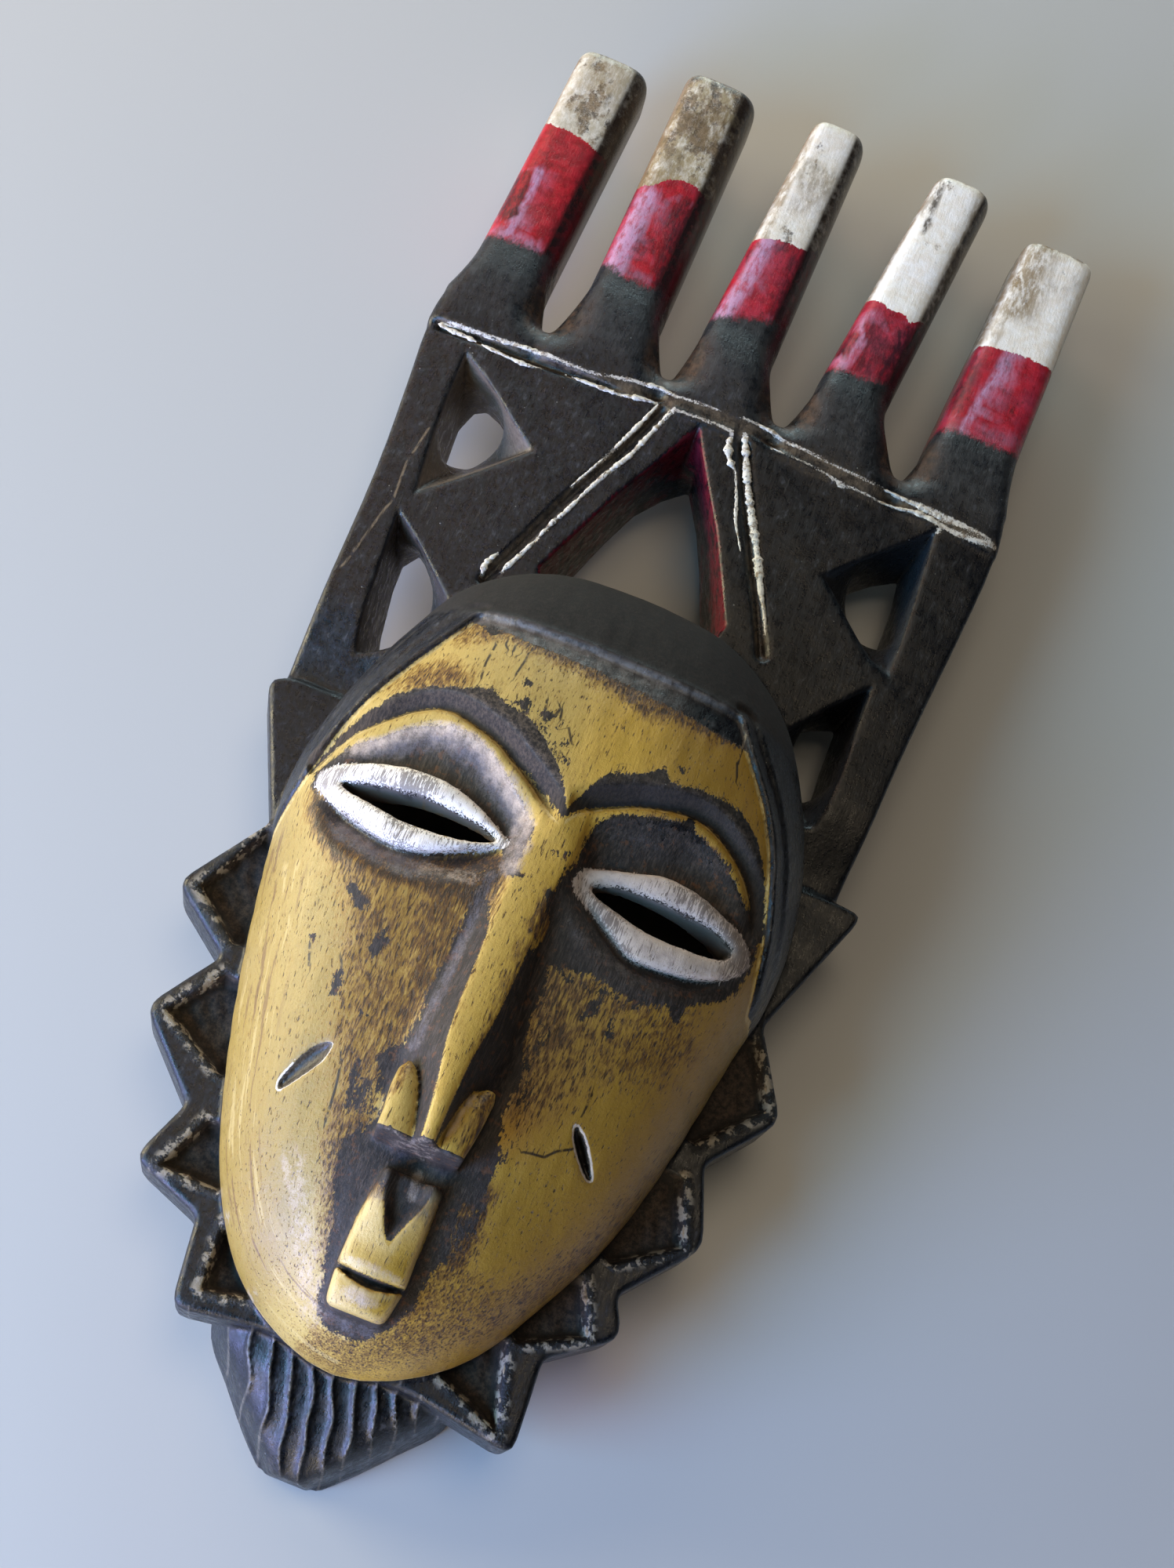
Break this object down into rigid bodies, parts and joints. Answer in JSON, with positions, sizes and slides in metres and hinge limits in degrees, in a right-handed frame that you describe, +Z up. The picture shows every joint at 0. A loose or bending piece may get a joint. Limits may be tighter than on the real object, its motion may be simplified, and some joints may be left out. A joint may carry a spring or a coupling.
{
  "type": "yaure mask",
  "caption": "Carved and painted wooden face mask with a hollow back, a toothed border, a pierced crest board with upright prongs and a short grooved beard, lying face up.",
  "frame": {"origin": "middle of the footprint, on the surface that the mask's hollow back lies on", "axes": "+Y from the beard towards the crest's prongs, +Z up out of the face, +X to the right in a view from above with the crest up"},
  "size_m": [0.1668, 0.3996, 0.088],
  "materials": {
    "painted_wood": "satin paint over carved wood: black ground, ochre yellow face, white lids and prong tips, red prong bands, all worn"
  },
  "bodies": {
    "root": {"mask": "painted_wood"}
  },
  "joints": []
}
